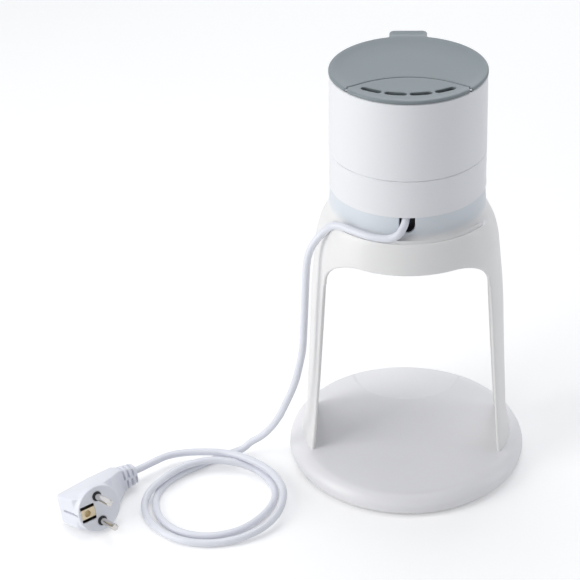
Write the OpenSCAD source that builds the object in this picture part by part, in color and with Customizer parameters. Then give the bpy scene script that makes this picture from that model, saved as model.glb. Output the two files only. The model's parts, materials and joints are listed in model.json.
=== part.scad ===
// Bottle warmer: a round heater head with a water tank, carried over a disc base by a
// two-legged stand, with a mains cord and a moulded angled plug.
// Frame: origin at the centre of the base's underside, +Z up. The cord leaves towards -Y,
// the lid tab and the controls face +Y. Millimetres.

/* [Head] */
// Outside diameter of the head's shells
head_d = 106; // [105:0.5:108]
// Height of the head's underside above the table
head_z = 223; // [221:0.5:225]
// Height of the lower shell, from the underside to the seam
lower_h = 26.3; // [26:0.1:27]
// Height of the upper shell, from the seam to the rim
upper_h = 54.3; // [54:0.1:58]
// Wall of the shells
wall = 2.4; // [2.2:0.1:2.6]
// Width of the lid's finger tab
tab_w = 25.7; // [18:0.1:30]
// Number of steam slots on each side of the vent cover
slots_side = 2; // [1:1:2]
// Width of a steam slot
slot_w = 4.4; // [2:0.1:4.6]

/* [Stand] */
// Wall of the collar and legs
stand_t = 2.3; // [2:0.1:2.8]
// Height of the window's top edge
window_top = 186; // [182:1:188]
// Corner radius of the window
window_r = 25; // [18:1:27]
// Half depth of a leg at its foot
leg_half = 30; // [26:1:31]
// Width of the cord notch in the neck
notch_w = 10.6; // [9:0.2:12]

/* [Base] */
// Outside diameter of the base
base_d = 172.8; // [172:0.2:180]
// Height of the base's dome at its centre
base_h = 18.6; // [18:0.2:20]
// Radius of the recess at the front of the base
scoop_r = 42; // [35:1:46]

/* [Controls] */
// Travel of the dispensing button
button_travel = 4; // [3:0.5:4]
// Width of the dispensing button
button_w = 27; // [22:1:28]
// Diameter of the temperature knob
knob_d = 16; // [13:0.5:17]

/* [Cord] */
// Diameter of the mains cord
cord_d = 5.3; // [5:0.1:5.3]
// Diameter of a plug pin
pin_d = 4.8; // [4:0.8:4.8]

/* [Hidden] */
$fn = 96;
hr = head_d / 2;
hri = hr - wall;
seam_z = head_z + lower_h;
rim_z = seam_z + upper_h;
ctl_z = head_z + 13;
white = [0.93, 0.94, 0.95];
ivory = [0.93, 0.92, 0.90];
grey = [0.50, 0.54, 0.57];
steel = [0.78, 0.79, 0.80];
e = 0.01;

// ---------- helpers ----------
module ring(ro, ri, z0, z1) { translate([0, 0, z0]) difference() { cylinder(r = ro, h = z1 - z0); translate([0, 0, -1]) cylinder(r = ri, h = z1 - z0 + 2); } }
module disc(r, z0, z1) { translate([0, 0, z0]) cylinder(r = r, h = z1 - z0); }
module block(a, b) { translate(a) cube(b - a); }
module at(az, r, z = 0) { rotate([0, 0, az]) translate([r, 0, z]) children(); }
// cylinder along +X of the local frame
module xcyl(r, x0, x1) { translate([x0, 0, 0]) rotate([0, 90, 0]) cylinder(r = r, h = x1 - x0); }
module ycyl(r, y0, y1) { translate([0, y0, 0]) rotate([-90, 0, 0]) cylinder(r = r, h = y1 - y0); }
// pill shaped bar along Y, w wide in X and h tall in Z
module pill(w, h, y0, y1) { for (s = [-1, 1]) translate([s * (w - h) / 2, 0, 0]) ycyl(h / 2, y0, y1); block([-(w - h) / 2, y0, -h / 2], [(w - h) / 2, y1, h / 2]); }
function unit(v) = v / norm(v);
// smooth path through control points
function cr(p, i, t) = let (n = len(p), a = p[max(i - 1, 0)], b = p[i], c = p[min(i + 1, n - 1)], d = p[min(i + 2, n - 1)])
    0.5 * (2 * b + (c - a) * t + (2 * a - 5 * b + 4 * c - d) * t * t + (3 * b - a - 3 * c + d) * t * t * t);
function smooth_path(p, k) = concat([for (i = [0 : len(p) - 2]) for (j = [0 : k - 1]) cr(p, i, j / k)], [p[len(p) - 1]]);
// frames carried along a path, so that a tube doesn't twist
function tangents(p) = [for (i = [0 : len(p) - 1]) unit(p[min(i + 1, len(p) - 1)] - p[max(i - 1, 0)])];
function carry(t, i = 0, n = undef) = let (m = is_undef(n) ? unit(cross(t[0], abs(t[0][2]) < 0.8 ? [0, 0, 1] : [1, 0, 0])) : unit(n - (n * t[i]) * t[i]))
    i == len(t) - 1 ? [m] : concat([m], carry(t, i + 1, m));
module tube(p, r, k = 10) {
    t = tangents(p);
    n = carry(t);
    m = len(p);
    pts = [for (i = [0 : m - 1]) for (j = [0 : k - 1]) p[i] + r * (cos(360 * j / k) * n[i] + sin(360 * j / k) * cross(t[i], n[i]))];
    side = [for (i = [0 : m - 2]) for (j = [0 : k - 1]) [i * k + j, i * k + (j + 1) % k, (i + 1) * k + (j + 1) % k, (i + 1) * k + j]];
    tri = [for (q = side) each [[q[0], q[2], q[1]], [q[0], q[3], q[2]]]];
    polyhedron(points = pts, faces = concat(tri, [[for (j = [0 : k - 1]) j]], [[for (j = [k - 1 : -1 : 0]) (m - 1) * k + j]]));
}

// ---------- base ----------
edge_a = 11;   // radial half axis of the rounded edge
edge_b = 9.2;  // vertical half axis above the widest line
edge_z = 7;    // height of the widest line
function base_outer(o) = let (br = base_d / 2 - o, top = edge_z + edge_b - o)
    concat([[0, 0], [br - 4, 0]],
           [for (a = [-80 : 20 : -20]) [br - 4 + 4 * cos(a), edge_z + (edge_z - 1) * sin(a)]],
           [for (a = [0 : 9 : 90]) [br - edge_a + edge_a * cos(a), edge_z + (edge_b - o) * sin(a)]],
           [for (k = [1 : 6]) let (q = 1 - k / 6) [(br - edge_a) * q, top + (base_h - edge_z - edge_b) * (1 - q * q)]]);
module base_solid(o = 0) { rotate_extrude($fn = 144) polygon(base_outer(o)); }
module scoop(drop = 0, grow = 0) {
    translate([0, 75, base_h - 4.7 - drop]) rotate([-5.2, 0, 0]) cylinder(r = scoop_r + grow, h = 30);
}
module leg_slot(o) { intersection() { ring(74.3 + o, 74.3 - stand_t - o, 3, 40); block([-100, -leg_half - 0.6 - o, 0], [100, leg_half + 0.6 + o, 60]); } }
module base_cover() {
    color(white) difference() {
        union() {
            difference() {
                base_solid();
                scoop();
                difference() { base_solid(2.4); translate([0, 0, 0]) scoop(2.4, 2.4); }
                disc(base_d / 2 - 3.9, -1, 3.55);
            }
            for (a = [45 : 90 : 315]) at(a, 68) difference() { disc(4.4, 3.6, 14.5); disc(1.3, 3, 12.5); }
        }
        disc(200, -5, 1);
        leg_slot(0.3);
    }
}
module base_plate() {
    color(white) difference() {
        disc(base_d / 2 - 4.1, 1, 3.5);
        for (a = [45 : 90 : 315]) at(a, 68) { disc(1.7, 0, 5); disc(3.1, 0, 2.3); }
        for (x = [-1, 1]) for (y = [-1, 1]) translate([66 * x, 16 * y, 0]) { disc(1.7, 0, 5); disc(3.1, 0, 2.3); }
        for (a = [20, 160, 200, 340]) at(a, 52) disc(6.1, 0, 2.2);
        disc(6.1, 0, 2.2);
    }
}
module ballast_plate() { color([0.45, 0.46, 0.48]) ring(54, 4, 3.55, 7.5); }
module foot_pads() { color([0.25, 0.25, 0.26]) { for (a = [20, 160, 200, 340]) at(a, 52) disc(6, 0, 2.2); disc(6, 0, 2.2); } }
module screw(z0, z1, hd = 3, hh = 1.2, r = 1.25) { disc(hd, z0, z0 + hh); disc(r, z0 + hh - e, z1); }
module base_screws() { color(steel) for (a = [45 : 90 : 315]) at(a, 68) screw(1.1, 12); }
module leg_screws() { color(steel) for (x = [-1, 1]) for (y = [-1, 1]) translate([66 * x, 16 * y, 0]) screw(1.1, 8.5); }

// ---------- stand ----------
// outer radius and height of the shoulder and leg, seen from the side
shoulder = [[hr - 0.3, head_z], [hr + 0.2, head_z - 8], [hr + 0.6, head_z - 15], [57.1, 200.6], [60.6, 193.2], [62.9, 183.4],
            [64.7, 166], [66.4, 153], [67.9, 133], [69.6, 98], [71.8, 58], [74.3, 16]];
// apron over the window, drawn about an axis set back from the head's axis
apron_y = -3.6;
apron = [[53.5, 205.2], [54.4, 205.2], [55.6, 205.6], [56.5, 206.6], [57.2, 206.9], [57.9, 206.3], [59.2, 201], [61.2, 192], [62.5, 185], [63.8, 174], [64.6, 166], [65.2, 158]];
module shell_of(pts, t, fl = 144) {
    rotate_extrude($fn = fl) polygon(concat(pts, [for (i = [len(pts) - 1 : -1 : 0]) [pts[i][0] - t, pts[i][1]]]));
}
module window_cut() {
    block([-(56.6 - window_r), -120, 20], [56.6 - window_r, 120, window_top]);
    block([-56.6, -120, 20], [56.6, 120, window_top - window_r]);
    for (s = [-1, 1]) translate([s * (56.6 - window_r), 0, window_top - window_r]) ycyl(window_r, -120, 120);
    // legs keep only the middle of each side
    for (s = [0, 180]) rotate([0, 0, s]) rotate([90, 0, 90]) translate([0, 0, -120]) linear_extrude(240)
        polygon([[-leg_half - 3.4, window_top - window_r], [-leg_half, 16], [-leg_half, -5], [-130, -5], [-130, window_top - window_r]]);
}
module stand_frame() {
    pa = concat(smooth_path(shoulder, 2), [[74.3, 3.6]]);
    pb = smooth_path(apron, 1);
    color(ivory) difference() {
        union() {
            difference() {
                union() {
                    difference() { shell_of(pa, stand_t); block([-90, -90, 150], [90, -leg_half, 203.4]); }
                    // rear apron with its cord ledge
                    intersection() {
                        translate([0, apron_y, 0]) shell_of([for (q = pb) if (q[1] < 206) if (q[0] > 57) q], stand_t);
                        block([-90, -90, 150], [90, -8, 210]);
                    }
                    intersection() {
                        translate([0, apron_y, 0]) rotate_extrude($fn = 144) polygon([[48, 203], [56.8, 203], [59, 201.9], [57.9, 206.3], [57.2, 206.9], [56.5, 206.6], [55.6, 205.6], [54.4, 205.2], [48, 205.2]]);
                        block([-90, -90, 150], [90, -26, 210]);
                    }
                }
                window_cut();
            }
            // the leg walls run down into the base, and their feet carry screw bosses
            for (x = [-1, 1]) for (y = [-1, 1]) translate([66 * x, 16 * y, 0]) { disc(4, 3.6, 9.5); block([min(0, 5 * x), -1.5, 3.6], [max(0, 5 * x), 1.5, 9.5]); }
        }
        for (x = [-1, 1]) for (y = [-1, 1]) translate([66 * x, 16 * y, 0]) disc(1.3, 2, 12);
        // clear the socket that takes the head's skirt
        disc(hri - 0.3, 199, head_z + 5);
        // cord notch
        translate([-0.2, 0, 0]) { translate([0, 0, 212 + notch_w / 2]) ycyl(notch_w / 2, -57.5, -40); block([-notch_w / 2, -57.5, 212 + notch_w / 2], [notch_w / 2, -40, head_z + 1]); }
    }
    // guard that closes the view behind the cord notch
    color(ivory) { block([-7, -52, 204.6], [7, -44.4, 206.6]); block([-7, -46, 205], [7, -44.4, 219]); }
}

// ---------- head: lower part ----------
module controls_holes() {
    translate([0, 0, ctl_z]) pill(button_w + 0.6, 13.6, 40, 60);
    at(56, 0, ctl_z) xcyl(3.4, 45, 60);
    at(124, 0, ctl_z) xcyl(2.45, 45, 60);
}
module lower_shell() {
    z = head_z;
    color(white) difference() {
        union() {
            rotate_extrude($fn = 144) polygon([[hr + 0.35, z + 0.05], [hr + 0.4, z + 0.5], [hr + 0.1, z + 3.5], [hr, z + 8], [hr, seam_z - 0.7], [hr - 0.45, seam_z - 0.1],
                [hri, seam_z - 0.1], [hri, z + 2.5], [41.4, z + 2.5], [41.4, z + 0.5], [hri, z + 0.5], [hri, z + 0.05]]);
            for (a = [45 : 90 : 315]) at(a, 44.5) disc(3, z + 0.5, z + 6);
            for (a = [10, 170, 270]) at(a, 0) block([43.5, -4.5, z + 18.5], [hri + 0.5, 4.5, z + 21]);
        }
        for (a = [45 : 90 : 315]) at(a, 44.5) disc(1.3, z - 1, z + 7);
        for (a = [10, 170, 270]) at(a, 46.8) disc(1.7, z + 10, z + 24);
        controls_holes();
        block([-5.3, -hri - 0.8, z - 1], [5.3, -24, z + 4]);
    }
}
module bottom_cover() {
    z = head_z;
    color(grey) difference() {
        union() {
            disc(hri - 0.6, z - 2, z + 0.4);
            ring(hri - 0.6, hri - 3, z - 13.5, z - 1.9);
            for (x = [17, 31.5]) for (y = [-21.5, 11.5]) translate([x, y, 0]) disc(2, z + 0.3, z + 3);
        }
        for (a = [45 : 90 : 315]) at(a, 44.5) disc(1.7, z - 5, z + 3);
        disc(6, z - 5, z + 3);
        for (x = [-8.2, 8.2]) translate([x, -34, 0]) disc(1.3, z - 5, z + 3);
        block([-5.3, -60, z - 20], [5.3, -24, z + 4]);
    }
}
module bottom_cover_screws() { color(steel) for (a = [45 : 90 : 315]) at(a, 44.5) screw(head_z - 3.25, head_z + 5.8, 2.8, 1.2); }
module upper_shell() {
    z = head_z;
    color(white) difference() {
        union() {
            rotate_extrude($fn = 144) polygon([[hr - 0.45, seam_z + 0.1], [hr, seam_z + 0.55], [hr - 0.8, rim_z - 0.5], [hr - 1.3, rim_z], [hri, rim_z], [hri, rim_z - 6.1], [45.2, rim_z - 6.1], [45.2, rim_z - 7.6],
                [hri, rim_z - 7.6], [hri, seam_z + 4], [hri - 1.4, seam_z + 4], [hri - 1.4, seam_z - 4], [hri - 0.1, seam_z - 4], [hri - 0.1, seam_z + 0.1]]);
            for (a = [10, 170, 270]) at(a, 0) { translate([46.8, 0, 0]) disc(3.3, z + 21.1, z + 40); block([46.8, -2, z + 21.1], [hri - 0.8, 2, z + 40]); block([46.8, -2, z + 27], [hri + 0.5, 2, z + 40]); }
        }
        for (a = [10, 170, 270]) at(a, 46.8) disc(1.3, z + 15, z + 34);
    }
}
module shell_screws() { color(steel) for (a = [10, 170, 270]) at(a, 46.8) screw(head_z + 17.25, head_z + 33, 2.8, 1.2); }

// ---------- head: tank and heater ----------
tank_z = head_z + 29;
module water_tank() {
    color(steel) rotate_extrude($fn = 144) polygon([[5.05, tank_z], [40.6, tank_z], [42, tank_z + 0.6], [42.6, tank_z + 2], [42.6, rim_z - 4.6], [hri - 0.8, rim_z - 4.6], [hri - 0.8, rim_z - 3.8],
        [41.8, rim_z - 3.8], [41.8, tank_z + 2.4], [40.9, tank_z + 0.8], [5.05, tank_z + 0.8]]);
}
module tank_seal() { color([0.85, 0.86, 0.88]) ring(hri - 1, 45.4, rim_z - 6.1, rim_z - 4.6); }
module heater_plate() { color([0.72, 0.73, 0.75]) ring(34, 7.6, tank_z - 4.4, tank_z); }
module heating_element() {
    zc = tank_z - 4.4 - 3.2;
    color([0.60, 0.58, 0.55]) {
        translate([0, 0, zc]) rotate([0, 0, -60]) rotate_extrude(angle = 300) translate([24, 0]) circle(r = 3.2, $fn = 32);
        for (a = [-55, 235]) at(a, 24) disc(1.6, zc - 9, zc + 0.4);
    }
}
module thermostat() { color([0.2, 0.2, 0.22]) translate([-13, 4.5, 0]) { disc(6, tank_z - 8.9, tank_z - 4.4); disc(4.2, tank_z - 12, tank_z - 8.9 + e); } }
module thermal_fuse() { color([0.86, 0.84, 0.78]) translate([14, 2, tank_z - 6.5]) rotate([0, 0, 90]) { xcyl(2.1, -6, 6); xcyl(0.5, -9, 9); } }
module temperature_sensor() { color(steel) at(230, 30.6) { disc(2.4, tank_z - 11, tank_z - 4.4); disc(3, tank_z - 12.5, tank_z - 11 + e); } }
module outlet_fitting() {
    color(steel) difference() {
        union() { disc(4.9, tank_z - 6, tank_z + 2.6); disc(8, tank_z + 2, tank_z + 3.4); disc(3, tank_z - 12.5, tank_z - 5.9); }
        disc(2, tank_z - 20, tank_z + 10);
    }
}
module outlet_seal() { color([0.85, 0.86, 0.88]) ring(8, 5.1, tank_z + 0.8, tank_z + 2); }
module outlet_nut() { color(steel) translate([0, 0, tank_z - 4]) difference() { cylinder(r = 7.3, h = 4, $fn = 6); translate([0, 0, -1]) cylinder(r = 4.95, h = 6); } }
// the hose is drawn as it stands at rest, pinched flat between the yoke and the anvil
pinch_z = head_z + 9.8;
module silicone_hose() {
    za = head_z + 6.4; zb = pinch_z - 1.2; zc = pinch_z + 1.2; zd = tank_z - 12.4;
    color([0.9, 0.9, 0.88]) difference() {
        union() {
            disc(4.6, head_z + 1.2, za + e);
            hull() { translate([0, 0, za - e]) cylinder(r = 4.6, h = e, $fn = 32); block([-6.2, -1.5, zb], [6.2, 1.5, zb + e]); }
            block([-6.2, -1.5, zb], [6.2, 1.5, zc]);
            hull() { block([-6.2, -1.5, zc - e], [6.2, 1.5, zc]); translate([0, 0, zd]) cylinder(r = 4.6, h = e, $fn = 32); }
            disc(4.6, zd, tank_z - 6.2);
        }
        disc(3.05, head_z, za - 0.4);
        hull() { translate([0, 0, za - 0.5]) cylinder(r = 3.05, h = e, $fn = 32); block([-3.4, -0.3, zb - 0.4], [3.4, 0.3, zb - 0.35]); }
        hull() { block([-3.4, -0.3, zc + 0.35], [3.4, 0.3, zc + 0.4]); translate([0, 0, zd + 0.1]) cylinder(r = 3.05, h = e, $fn = 32); }
        disc(3.05, zd + 0.05, tank_z);
    }
}
module outlet_nozzle() {
    z = head_z;
    color([0.88, 0.89, 0.9]) difference() {
        rotate_extrude() polygon([[0, z - 18], [5, z - 18], [5.4, z - 17.6], [7, z - 4], [9, z - 4], [9, z - 2], [5.9, z - 2], [5.9, z + 1.1], [3, z + 1.1], [3, z + 5.8], [0, z + 5.8]]);
        disc(2.2, z - 20, z + 10);
    }
}

// ---------- head: dispensing valve and controls ----------
module valve_frame() {
    z = head_z + 0.45;
    color([0.8, 0.8, 0.82]) difference() {
        union() {
            block([-14, -14, z], [14, 26, z + 2]);
            block([-6.5, 6, z], [6.5, 9, z + 12.5]);
            block([-6.5, 1.55, pinch_z - 0.9], [6.5, 6.1, pinch_z + 0.9]);
            for (s = [0, 1]) mirror([s, 0, 0]) { block([8.2, 10, z], [13.5, 18, z + 7.2]); block([11.2, 10, z], [13.5, 18, z + 13]); block([9.4, 10, pinch_z + 2], [13.5, 18, z + 13]); }
        }
        disc(6.6, z - 5, z + 5);
    }
}
module dispense_button() {
    color(grey) translate([0, 0, ctl_z]) {
        intersection() { pill(button_w, 13, 44, 60); translate([0, 0, -20]) cylinder(r = hr + 1.2, h = 40, $fn = 144); }
        pill(button_w + 3, 15.6, 44, 47.3);
    }
}
module pinch_yoke() {
    z0 = pinch_z - 1.7; z1 = pinch_z + 1.7;
    color([0.75, 0.76, 0.78]) {
        for (s = [-1, 1]) block([min(8 * s, 10.6 * s), -10, z0], [max(8 * s, 10.6 * s), 43, z1]);
        block([-10.6, 41.5, z0 - 1], [10.6, 43.95, z1 + 4]);
        block([-10.6, -11, z0], [10.6, -6, z1]);
        block([-6.5, -6.1, pinch_z - 0.9], [6.5, -1.55, pinch_z + 0.9]);
        block([-8.1, 16.2 + button_travel, z0], [8.1, 18.6 + button_travel, z1]);
    }
}
module yoke_spring() {
    n = 5; len_s = 6.2 + button_travel;
    color(steel) translate([0, 9.5, pinch_z]) tube([for (k = [0 : n * 12]) let (a = k * 30) [3.1 * cos(a), len_s * k / (n * 12), 3.1 * sin(a)]], 0.4, 6);
}
module rotary_switch() {
    color([0.25, 0.26, 0.28]) at(56, 0, ctl_z) difference() {
        union() { block([36, -7, -6.5], [47, 7, 6.5]); xcyl(4.5, 46, sqrt(hri * hri - 4.5 * 4.5) - 0.05); }
        xcyl(3.05, 30, 60);
    }
}
module knob_shaft() { color(steel) at(56, 0, ctl_z) xcyl(3, 33, 59); }
module temperature_knob() {
    color(grey) at(56, 0, ctl_z) difference() {
        union() {
            rotate([0, 90, 0]) rotate_extrude() polygon([[0, hr + 0.9], [knob_d / 2, hr + 0.9], [knob_d / 2, hr + 6], [knob_d / 2 - 1, hr + 7.6], [0, hr + 8]]);
            block([hr + 6, -1, 0], [hr + 8.6, 1, knob_d / 2 - 1.4]);
        }
        xcyl(3.02, 40, 59.02);
    }
}
module indicator_lens() { color([0.95, 0.6, 0.2]) at(124, 0, ctl_z) { xcyl(2.4, 49, hr + 0.4); xcyl(3.3, 48, sqrt(hri * hri - 3.3 * 3.3) - 0.05); } }
module indicator_led() { color([0.9, 0.9, 0.8]) at(124, 0, ctl_z) { xcyl(1.5, 43, 47.8); block([41, -5, -5], [43.05, 5, 5]); } }
module control_board() { color([0.1, 0.4, 0.2]) block([14.2, -24, head_z + 3], [38, 14, head_z + 4.6]); }
module power_relay() { color([0.15, 0.25, 0.5]) block([16, -20, head_z + 4.6], [31, -8, head_z + 15.6]); }
module capacitor() { color([0.3, 0.2, 0.5]) translate([30, 4, 0]) disc(4.5, head_z + 4.6, head_z + 14); }
module terminal_block() {
    color([0.9, 0.9, 0.86]) difference() { block([-32, -26, head_z + 0.45], [-14, -17, head_z + 9]); for (i = [0 : 2]) translate([-28.5 + 5.5 * i, -21.5, 0]) disc(1.6, head_z + 4, head_z + 20); }
}
module internal_wires() {
    z = head_z;
    color([0.75, 0.2, 0.15]) {
        tube(smooth_path([[-28.5, -21.5, z + 4.6], [-28.4, -21.4, z + 10.5], [-21, -19.4, z + 12.2], [-16, -19.2, z + 10.4], [-13.9, -19.55, z + 10.9], [-13.77, -19.66, z + 12.2]], 4), 0.9, 8);
        tube(smooth_path([[-23, -21.5, z + 4.6], [-22.8, -22, z + 11], [-12, -27, z + 14.3], [6, -26.5, z + 14], [14.2, -22.2, z + 8], [15, -19.3, z + 5.5]], 4), 0.9, 8);
        tube(smooth_path([[33, -12, z + 5.1], [33.4, -13.5, z + 9.5], [32.6, -20.8, z + 12.5], [26, -24, z + 12.8], [19, -23.4, z + 11.3], [16, -21.9, z + 10.2], [13.9, -19.8, z + 10.8], [13.77, -19.66, z + 12.2]], 4), 0.9, 8);
    }
}
module cord_clamp() {
    z = head_z;
    color([0.9, 0.9, 0.9]) difference() {
        block([-11.5, -38, z + 2.6], [11.5, -30, z + 10.4]);
        translate([0, 0, z + 5.6]) ycyl(cord_d / 2 + 0.25, -50, -20);
        block([-cord_d / 2 - 0.25, -50, z], [cord_d / 2 + 0.25, -20, z + 5.6]);
        for (x = [-8.2, 8.2]) translate([x, -34, 0]) disc(1.3, z - 5, z + 20);
    }
}
module clamp_screws() { color(steel) for (x = [-8.2, 8.2]) translate([x, -34, 0]) { disc(1.25, head_z - 1.9, head_z + 10.5); disc(2.5, head_z + 10.4, head_z + 11.8); } }

// ---------- lid ----------
hinge_y = -32.5;
hinge_z = rim_z + 1.3;
part_y = -58;
part_r = 48.7;
// the lid is a shallow dish with a rolled rim; the vent cover and the flap share it
module dish(gap = 0) {
    z = rim_z;
    rotate_extrude($fn = 144) polygon([[0, z - 2.1], [44, z - 1.5], [46.5, z - 0.6], [49.4, z + 0.3], [hr - 0.7, z + 0.3], [hr - 0.45, z + 0.9], [hr - 0.5, z + 2.1], [hr - 0.9, z + 2.7], [hr - 1.9, z + 2.75],
        [hr - 4.6, z + 2.05], [hr - 9, z + 0.9], [30, z + 0.3], [0, z]]);
}
module part_line(o, z0, z1) { translate([0, part_y, 0]) disc(part_r + o, z0, z1); }
module ears_zone(o) { for (s = [0, 1]) mirror([s, 0, 0]) block([39.2 - o, -40, rim_z - 3], [60, -26, rim_z + 10]); }
module vent_cover() {
    color(grey) difference() {
        union() {
            intersection() { dish(); part_line(-0.15, 200, 400); }
            // locating skirt inside the shell
            intersection() { ring(hri - 0.2, hri - 1.4, rim_z - 3.4, rim_z + 0.6); part_line(-1.5, 200, 400); block([-60, -60, 200], [60, -34.5, 400]); }
        }
        ears_zone(0.2);
        for (s = [-1, 1]) for (k = [0 : slots_side - 1]) let (a = 8.9 + 18.2 * k)
            translate([0, 16.1, rim_z - 5]) rotate([0, 0, -90 + s * a]) {
                for (y = [-5.06, 5.06]) translate([52.7 - 0.24, y, 0]) cylinder(r = slot_w / 2 - 0.04, h = 20);
                translate([52.7 - 0.24 - slot_w / 2, -5.06, 0]) cube([slot_w, 10.12, 20]);
            }
        for (s = [-1, 1]) translate([s > 0 ? 37 : -40, hinge_y, hinge_z]) xcyl(0.6, 0, 3);
    }
}
module hinge_pins() { color(steel) for (s = [0, 1]) mirror([s, 0, 0]) translate([0, hinge_y, hinge_z]) xcyl(0.6, 37.05, 40.35); }
module lid_flap() {
    color(grey) difference() {
        union() {
            difference() {
                union() {
                    difference() { dish(); part_line(0.25, 200, 400); ears_zone(0); }
                    intersection() { dish(); for (s = [0, 1]) mirror([s, 0, 0]) block([39.3, hinge_y, rim_z - 3], [60, -25.9, rim_z + 10]); }
                    // finger tab
                    tab_y = hr + 9.3;
                    for (x = [-1, 1]) translate([x * (tab_w / 2 - 3.5), tab_y - 3.5, 0]) disc(3.5, rim_z + 0.3, rim_z + 2.6);
                    block([-tab_w / 2 + 3.5, hr - 4, rim_z + 0.3], [tab_w / 2 - 3.5, tab_y, rim_z + 2.6]);
                    block([-tab_w / 2, hr - 4, rim_z + 0.3], [tab_w / 2, tab_y - 3.5, rim_z + 2.6]);
                    // locating skirt inside the shell
                    intersection() { ring(hri - 0.35, hri - 1.6, rim_z - 3.2, rim_z + 0.6); block([-60, -18, 200], [60, 60, 400]); }
                }
                // round the ears about the hinge pins
                for (s = [0, 1]) mirror([s, 0, 0]) difference() { block([38, hinge_y - 10, rim_z - 5], [60, hinge_y + e, rim_z + 10]); translate([0, hinge_y, hinge_z]) xcyl(1.2, 30, 70); }
            }
            for (s = [0, 1]) mirror([s, 0, 0]) intersection() { translate([0, hinge_y, hinge_z]) xcyl(1.2, 39.3, 42); disc(hr - 0.5, 200, 400); }
        }
        for (s = [0, 1]) mirror([s, 0, 0]) translate([0, hinge_y, hinge_z]) xcyl(0.65, 38, 40.6);
    }
}

// ---------- cord and plug ----------
cr2 = cord_d / 2;
// The cord leaves the notch, lies in the ledge, drops over the shoulder, makes two turns on the table and ends in the plug.
cord_drop = [[0, -26, 228.6], [0, -36, 228.4], [-0.3, -42.5, 226], [-0.8, -48.6, 222], [-2.1, -53.3, 217.7], [-5.2, -57.1, 213.6],
    [-9.8, -58, 210.9], [-16, -57, 209.6], [-26, -53, 209.6], [-36, -46.5, 209.8], [-45, -40.5, 210], [-51, -36, 207.6],
    [-55, -32.6, 202], [-59.8, -31.4, 196], [-63.6, -31, 190.2], [-66.3, -31, 184], [-68.1, -31, 176], [-69.1, -31, 165],
    [-70.3, -31, 145], [-71.6, -31, 124], [-72.9, -31, 106], [-75.5, -31, 91.6], [-79.6, -30.8, 75], [-86.2, -30.2, 58],
    [-91.6, -26.6, 44], [-98, -22.8, 31.6], [-106, -19, 20.3], [-114.6, -15.6, 12]];
cord_turn_1 = [[-121.5, -16.7, 6.2], [-133.1, -19.2, 2.75], [-144.5, -27.1, 2.65], [-155.7, -35.9, 2.65], [-165.8, -44.3, 2.65],
    [-173.8, -54.5, 2.65], [-178.3, -66.3, 2.65], [-178.3, -79.4, 2.65], [-173.3, -93.3, 2.65], [-163.2, -105, 2.65],
    [-150.2, -111.3, 2.65], [-136.9, -112.8, 2.65], [-124, -109.8, 2.65], [-112.3, -103, 2.65], [-102.6, -92.2, 2.65],
    [-95.9, -79.4, 2.65], [-93.7, -66.2, 2.65], [-96.8, -53.4, 2.75], [-105.3, -42.1, 3.6], [-116.7, -36, 5.6],
    [-128.8, -33.9, 7.6]];
cord_turn_2 = [[-141.7, -33.4, 8.3], [-154.3, -36.8, 8.3], [-166.3, -45.3, 8.4], [-176.2, -57.4, 8.3], [-183.6, -68.8, 6.6],
    [-186.1, -80.1, 4.2], [-183, -92.2, 2.65], [-174.8, -104.4, 2.65], [-164, -113.4, 2.65], [-151.1, -119, 2.65],
    [-136.9, -120.5, 2.65], [-123.2, -118.5, 3], [-110.5, -113.9, 4.2], [-98.8, -105.6, 5.6], [-90.4, -93.2, 6.8],
    [-87.1, -78, 7.6], [-88.2, -64.3, 8], [-94.7, -50.9, 8.8]];
cord_run = [[-105.6, -41.2, 10.5], [-119.5, -32.6, 11], [-134, -26, 9.6], [-148.2, -24.2, 8.9], [-163, -25.6, 8.9], [-175.2, -30.2, 9.3], [-184, -37.6, 9.7],
    [-191.25, -44.4, 9.8], [-198.8, -51, 9.9], [-206.4, -57.5, 10]];
module power_cord() {
    color([0.88, 0.90, 0.95]) tube(smooth_path(concat(cord_drop, cord_turn_1, cord_turn_2, cord_run), 2), cr2, 10);
}
plug_at = [-213.5, -104, 18.8];
plug_turn = -48.8;
plug_tilt = -15;
plug_roll = -1;
cord_depth = 31.5; // depth of the cord's axis behind the plug's face
module in_plug() { translate(plug_at) rotate([0, 0, plug_turn]) rotate([0, plug_tilt, 0]) rotate([plug_roll, 0, 0]) children(); }
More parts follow.
